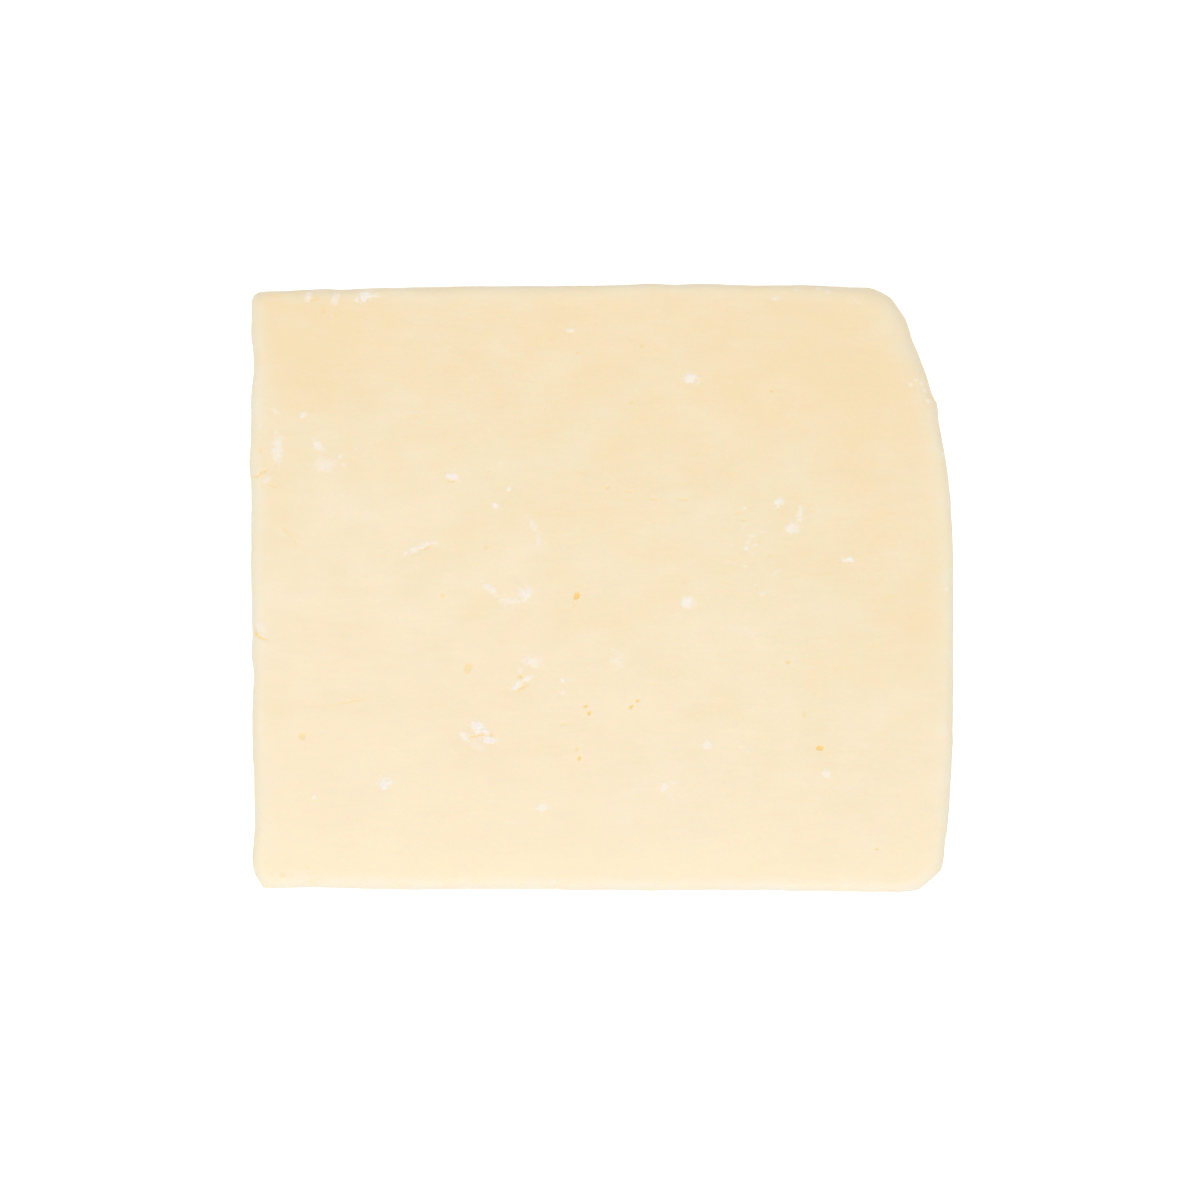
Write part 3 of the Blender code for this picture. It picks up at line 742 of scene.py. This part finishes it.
# stand the block on the floor, and turn cells with extra corners into triangles
def finishSkin(obj):
    places = readPoints(obj, "co")
    places[:, 2] -= places[:, 2].min()
    obj.data.vertices.foreach_set("co", places.ravel())
    obj.data.update()
    onlySelect(obj)
    split = obj.modifiers.new("split many-sided cells", "TRIANGULATE")
    split.min_vertices = 5  # four-sided cells stay
    bpy.ops.object.modifier_apply(modifier=split.name)
    bpy.ops.object.shade_smooth()


finishSkin(block)
print("stage: skin finished,", sum(len(p.vertices) - 2 for p in block.data.polygons), "triangles")


# White cheddar cut with a wire and handled: satin, slightly see-through, faintly mottled where
# the curds knitted. Torn curd dries pale. Holes, cracks and the dug side of crumbs get deep yellow
# painted shade and glow, the rims a paler grey that is partly dried wear and partly painted shade
# and sheen, and the colour runs paler towards the near side, partly tint and partly painted light.
cheddar = {
    "butter": "EEDAB4", "cream": "EEDEBE", "blush": "F0E0C3", "milk": "F3E4C4",
    "whey": "FEFFFF", "curd": "FFFDFA",  # tones laid over the colour, greyer or pinker
    # hole is painted shade: the deep yellow glow and shade put into pits, cracks and beside crumbs
    "wornAndShaded": "E8E8DA", "dried": "F0E9E2", "hole": "F4D178",
    # the rims are painted a paler grey: partly dried wear and partly painted shade and a painted sheen
    "layers": [("rim", 0.8, "wornAndShaded"), ("dry", 0.8, "dried"), ("pale", 0.7, "dried"),
               ("deep", 0.7, "hole")],  # what the mesh says, least cover, colour
    "blushShare": 0.5, "butterShare": 0.667,  # where the colours stand between milk and butter
    # the colour runs darker and more buttery towards the far side: partly tint, partly painted shade
    "butterAlong": 0.067, "butterAndShadeAcross": 0.24, "butterReach": (52, 45),  # left to right, near to far
    "butterPatches": [(-45, 37, 11, 0.24), (38, 35, 15, 0.18), (44, -6, 13, 0.10), (-37, 17, 13, -0.10),
                      (-28, -25, 18, -0.07), (4, 22, 14, 0.07)],  # x, y, reach, share
    # the near edge is painted paler: partly tint, partly painted light
    "nearEdgeTintAndLight": (-45.0, 8.0, -0.36),  # y, reach, share
    "curdPatches": [(-44, 34, 14, 0.30), (34, 34, 13, 0.30), (46, 8, 12, 0.20), (-26, -20, 16, 0.20),
                    (-8, 28, 6, 0.20), (-42, 10, 12, -0.30), (22, 3, 13, -0.25), (30, -9, 12, -0.20),
                    (-33, 28, 6, -0.20), (-3, 24, 5, -0.15)],
    "patch": 7.0, "patchDetail": 4.0, "patchSwing": 0.16,  # sizes of the patterns are in mm
    "streak": 1.3, "streakDetail": 3.0, "streakSwing": 0.065, "streakStretch": 0.25,
    "cloud": 10.0, "cloudDetail": 3.0, "cloudPlace": 1.3, "stretch": 0.8,
    "spread": (0.3, 0.7),  # the noises' usual least and most
    "broken": 0.35, "brokenDetail": 3.0, "brokenSpread": (0.35, 0.6),  # breaks up the layers
    "grain": 0.5, "grainDetail": 4.0, "grainDepth": 0.04,
    "drag": 0.9, "dragDetail": 3.0, "dragDepth": 0.05,
    "roughness": 0.48, "ior": 1.45, "scatter": 0.3, "scatterReach": (3.0, 1.6, 0.7),
}
# how strongly each rim gets the paler grey, partly dried wear and partly painted shade and sheen, and how
# far that band reaches
wearAndShade = {
    "left": 0.65, "right": 0.6, "near": 0.25, "far": 0.45, "nearDry": 0.50,
    "leftNear": 0.45, "leftFrom": -30 * mm, "leftTo": 30 * mm,  # the left rim is fresher towards us
    "reach": 0.92, "power": 1.8, "depth": 2.8 * mm, "footDepth": 2.0 * mm,
    "shift": 0.6 * mm, "shiftSize": 2.2 * mm, "swing": 0.5, "swingSize": 4.0 * mm,
}


# noise scale for features of that size in mm, on coordinates in metres
def perMm(size):
    return 1 / (size * mm)


# how buttery the cheese is from place to place, before its fine mottling; the rise towards the far side and
# the paler near edge are partly its own tint and partly painted light falling from the near side
def tintSkin(obj):
    places = readPoints(obj, "co") / mm
    x, y = places[:, 0], places[:, 1]
    reachX, reachY = cheddar["butterReach"]
    share = cheddar["butterShare"] + cheddar["butterAlong"] * x / reachX
    share += cheddar["butterAndShadeAcross"] * y / reachY
    edgeY, edgeReach, edgeShare = cheddar["nearEdgeTintAndLight"]
    share += edgeShare * np.exp(-((y - edgeY) / edgeReach) ** 2)
    for middleX, middleY, reach, strength in cheddar["butterPatches"]:
        share += strength * np.exp(-((x - middleX) ** 2 + (y - middleY) ** 2) / reach ** 2)
    writeAttribute(obj, "butter", np.clip(share, 0, 1))
    share = np.zeros(len(places))
    for middleX, middleY, reach, strength in cheddar["curdPatches"]:
        share += strength * np.exp(-((x - middleX) ** 2 + (y - middleY) ** 2) / reach ** 2)
    writeAttribute(obj, "curd", share)


# how strongly a rim gets the paler grey: partly dried wear and partly painted shade and sheen
def rimWearAndShade(place, heading):
    crosswise = wearAndShade["far"] if heading.y > 0 else wearAndShade["near"]
    if heading.x > 0:
        lengthwise = wearAndShade["right"]
    else:
        share = smoothStep((place.y - wearAndShade["leftFrom"]) / (wearAndShade["leftTo"] - wearAndShade["leftFrom"]))
        lengthwise = wearAndShade["leftNear"] + (wearAndShade["left"] - wearAndShade["leftNear"]) * share
    return lengthwise * heading.x ** 2 + crosswise * heading.y ** 2


# how dry and worn the skin is, with painted shade and sheen in the worn rim band, which falls off unevenly
# from the rims inwards
def wearAndShadeRims(obj):
    places = readPoints(obj, "co").astype(float)
    gap, width = np.ones(len(places)), np.ones(len(places))
    strength, dryness = np.zeros(len(places)), np.zeros(len(places))
    for start, end, heading in zip(blockRing, blockRing[1:] + blockRing[:1], blockHeadings):
        step = np.array(end - start)
        offset = places[:, :2] - np.array(start)
        along = np.clip(offset @ step / (step @ step), 0, 1)
        away = np.hypot(*(offset - along[:, None] * step).T)
        closer = away < gap
        gap[closer] = away[closer]
        width[closer] = rimWidth(start, heading) * wearAndShade["reach"]
        strength[closer] = rimWearAndShade(start, heading)
        dryness[closer] = wearAndShade["nearDry"] * max(0.0, -heading.y) ** 2
    gap += [wearAndShade["shift"] * noise.noise(Vector(place) / wearAndShade["shiftSize"]) for place in places]
    swing = np.array([noise.noise(Vector(place) / wearAndShade["swingSize"]) for place in places])
    level = np.maximum(np.exp(-((cadSize.z - places[:, 2]) / wearAndShade["depth"]) ** 2),
                       np.exp(-(places[:, 2] / wearAndShade["footDepth"]) ** 2))
    wornAndShaded = level * np.exp(-(np.clip(gap, 0, None) / width) ** wearAndShade["power"])
    writeAttribute(obj, "rim", strength * wornAndShaded * (1 + wearAndShade["swing"] * swing))
    writeAttribute(obj, "dry", dryness * wornAndShaded * (1 + wearAndShade["swing"] * swing))


def makeCheddar():
    material = bpy.data.materials.new("white cheddar, wire cut")
    material.use_nodes = True
    tree = material.node_tree
    skin = tree.nodes["Principled BSDF"]
    coords = addNode(tree, "ShaderNodeTexCoord").outputs["Object"]
    drawn = addNode(tree, "ShaderNodeMapping", {"Scale": (cheddar["stretch"], 1.0, 1.0)},
                    {"Vector": coords}).outputs["Vector"]
    streaked = addNode(tree, "ShaderNodeMapping", {"Scale": (cheddar["streakStretch"], 1.0, 1.0)},
                       {"Vector": coords}).outputs["Vector"]
    measured, patterns = {}, {}
    for name in ("butter", "curd", "rim", "dry", "pale", "deep"):
        measured[name] = addNode(tree, "ShaderNodeAttribute", {"attribute_name": name}).outputs["Fac"]
    for name, vector in (("patch", drawn), ("streak", streaked), ("cloud", drawn), ("broken", coords),
                         ("grain", coords), ("drag", streaked)):
        patterns[name] = addNode(tree, "ShaderNodeTexNoise", {"Scale": perMm(cheddar[name]),
                                 "Detail": cheddar[name + "Detail"]}, {"Vector": vector})
    patterns["cloud"].noise_dimensions = "4D"
    patterns["cloud"].inputs["W"].default_value = cheddar["cloudPlace"]
    noiseLow, noiseHigh = cheddar["spread"]

    # milky to buttery, from place to place with soft patches and fine streaks
    swings = []
    for name in ("patch", "streak"):
        most = cheddar[name + "Swing"]
        swing = addNode(tree, "ShaderNodeMapRange",
                        {"From Min": noiseLow, "From Max": noiseHigh, "To Min": -most, "To Max": most},
                        {"Value": patterns[name].outputs["Fac"]})
        swings.append(swing.outputs["Result"])
    uneven = addNode(tree, "ShaderNodeMath", {"operation": "ADD"}, {0: swings[0], 1: swings[1]})
    share = addNode(tree, "ShaderNodeMath", {"operation": "ADD"},
                    {0: measured["butter"], 1: uneven.outputs["Value"]})
    tint = addNode(tree, "ShaderNodeValToRGB", None, {"Fac": share.outputs["Value"]})
    ramp = tint.color_ramp
    ramp.elements[0].position, ramp.elements[0].color = 0.0, hexToLinear(cheddar["milk"])
    ramp.elements[1].position, ramp.elements[1].color = 1.0, hexToLinear(cheddar["butter"])
    ramp.elements.new(cheddar["blushShare"]).color = hexToLinear(cheddar["blush"])
    ramp.elements.new(cheddar["butterShare"]).color = hexToLinear(cheddar["cream"])

    # greyer or pinker clouds over it
    cloudShare = addNode(tree, "ShaderNodeMapRange", {"From Min": noiseLow, "From Max": noiseHigh},
                         {"Value": patterns["cloud"].outputs["Fac"]})
    curdShare = addNode(tree, "ShaderNodeMath", {"operation": "ADD", "use_clamp": True},
                        {0: measured["curd"], 1: cloudShare.outputs["Result"]})
    curdTone = addNode(tree, "ShaderNodeMix", {"data_type": "RGBA", 6: hexToLinear(cheddar["whey"]),
                       7: hexToLinear(cheddar["curd"])}, {"Factor": curdShare.outputs["Value"]})
    color = addNode(tree, "ShaderNodeMix", {"data_type": "RGBA", "blend_type": "MULTIPLY", "Factor": 1.0},
                    {6: tint.outputs["Color"], 7: curdTone.outputs[2]}).outputs[2]

    # worn rims with painted shade and sheen, torn curd, and painted shade in the holes
    brokenLow, brokenHigh = cheddar["brokenSpread"]
    for name, least, layerColor in cheddar["layers"]:
        unbroken = addNode(tree, "ShaderNodeMapRange", {"From Min": brokenLow, "From Max": brokenHigh,
                           "To Min": least, "To Max": 1.0}, {"Value": patterns["broken"].outputs["Fac"]})
        cover = addNode(tree, "ShaderNodeMath", {"operation": "MULTIPLY"},
                        {0: measured[name], 1: unbroken.outputs["Result"]})
        color = addNode(tree, "ShaderNodeMix", {"data_type": "RGBA", 7: hexToLinear(cheddar[layerColor])},
                        {"Factor": cover.outputs["Value"], 6: color}).outputs[2]
    tree.links.new(color, skin.inputs["Base Color"])

    grainBump = addNode(tree, "ShaderNodeBump", {"Strength": 1.0, "Distance": cheddar["grainDepth"] * mm},
                        {"Height": patterns["grain"].outputs["Fac"]})
    dragBump = addNode(tree, "ShaderNodeBump", {"Strength": 1.0, "Distance": cheddar["dragDepth"] * mm},
                       {"Height": patterns["drag"].outputs["Fac"],
                        "Normal": grainBump.outputs["Normal"]})
    tree.links.new(dragBump.outputs["Normal"], skin.inputs["Normal"])
    skin.inputs["Roughness"].default_value = cheddar["roughness"]
    skin.inputs["IOR"].default_value = cheddar["ior"]
    skin.inputs["Subsurface Weight"].default_value = cheddar["scatter"]
    skin.inputs["Subsurface Radius"].default_value = cheddar["scatterReach"]
    skin.inputs["Subsurface Scale"].default_value = mm
    return material


tintSkin(block)
wearAndShadeRims(block)
block.data.materials.clear()
block.data.materials.append(makeCheddar())
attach(block, "root")
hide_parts("cheddar_block")
print("stage: cheese finished")


# Plain pale floor and a soft white studio, brighter from the near side
studio = {
    "floorSize": 3.0, "floorDrop": 0.02 * mm, "floor": "E7E7E7", "floorRoughness": 0.9, "floorGlow": 0.60,
    "dome": 0.78,
    "keySize": 0.9, "keyPower": 4.1, "keyPlace": (-0.06, -0.34, 1.0),
}


def makeStudio():
    bpy.ops.object.select_all(action="DESELECT")
    bpy.ops.mesh.primitive_plane_add(size=studio["floorSize"], location=(0, 0, -studio["floorDrop"]))
    floor = bpy.context.object
    floor.name = "floor"
    paint = bpy.data.materials.new("matt white card")
    paint.use_nodes = True
    shader = paint.node_tree.nodes["Principled BSDF"]
    shader.inputs["Base Color"].default_value = hexToLinear(studio["floor"])
    shader.inputs["Roughness"].default_value = studio["floorRoughness"]
    shader.inputs["Emission Color"].default_value = (1, 1, 1, 1)
    shader.inputs["Emission Strength"].default_value = studio["floorGlow"]
    floor.data.materials.append(paint)
    floor.visible_diffuse = False  # its glow keeps the picture white and stays off the cheese

    world = bpy.data.worlds.new("white studio")
    bpy.context.scene.world = world
    world.use_nodes = True
    dome = world.node_tree.nodes["Background"]
    dome.inputs["Color"].default_value = (1, 1, 1, 1)
    dome.inputs["Strength"].default_value = studio["dome"]

    bpy.ops.object.light_add(type="AREA", location=studio["keyPlace"])
    key = bpy.context.object
    key.name = "key softbox"
    key.data.shape = "DISK"
    key.data.size = studio["keySize"]
    key.data.energy = studio["keyPower"]
    key.rotation_euler = (-Vector(studio["keyPlace"])).to_track_quat("-Z", "Y").to_euler()
    bpy.context.scene.view_settings.view_transform = "Standard"


# The picture is 180 mm wide where the block is widest, and its middle is a little off the block's
view = {
    "width": 179.7 * mm, "planeHeight": 34.0 * mm, "aimX": -0.21 * mm, "aimY": -1.80 * mm,
    "lens": 100.0, "sensor": 36.0, "clipNear": 0.01, "clipFar": 10,
}


def makeCamera():
    distance = view["width"] * view["lens"] / view["sensor"]
    place = (view["aimX"], view["aimY"], view["planeHeight"] + distance)
    bpy.ops.object.camera_add(location=place, rotation=(0, 0, 0))
    camera = bpy.context.object
    camera.name = "view from above"
    camera.data.lens = view["lens"]
    camera.data.sensor_width = view["sensor"]
    camera.data.clip_start = view["clipNear"]
    camera.data.clip_end = view["clipFar"]
    bpy.context.scene.camera = camera


makeStudio()
makeCamera()
print("stage: studio and camera set")
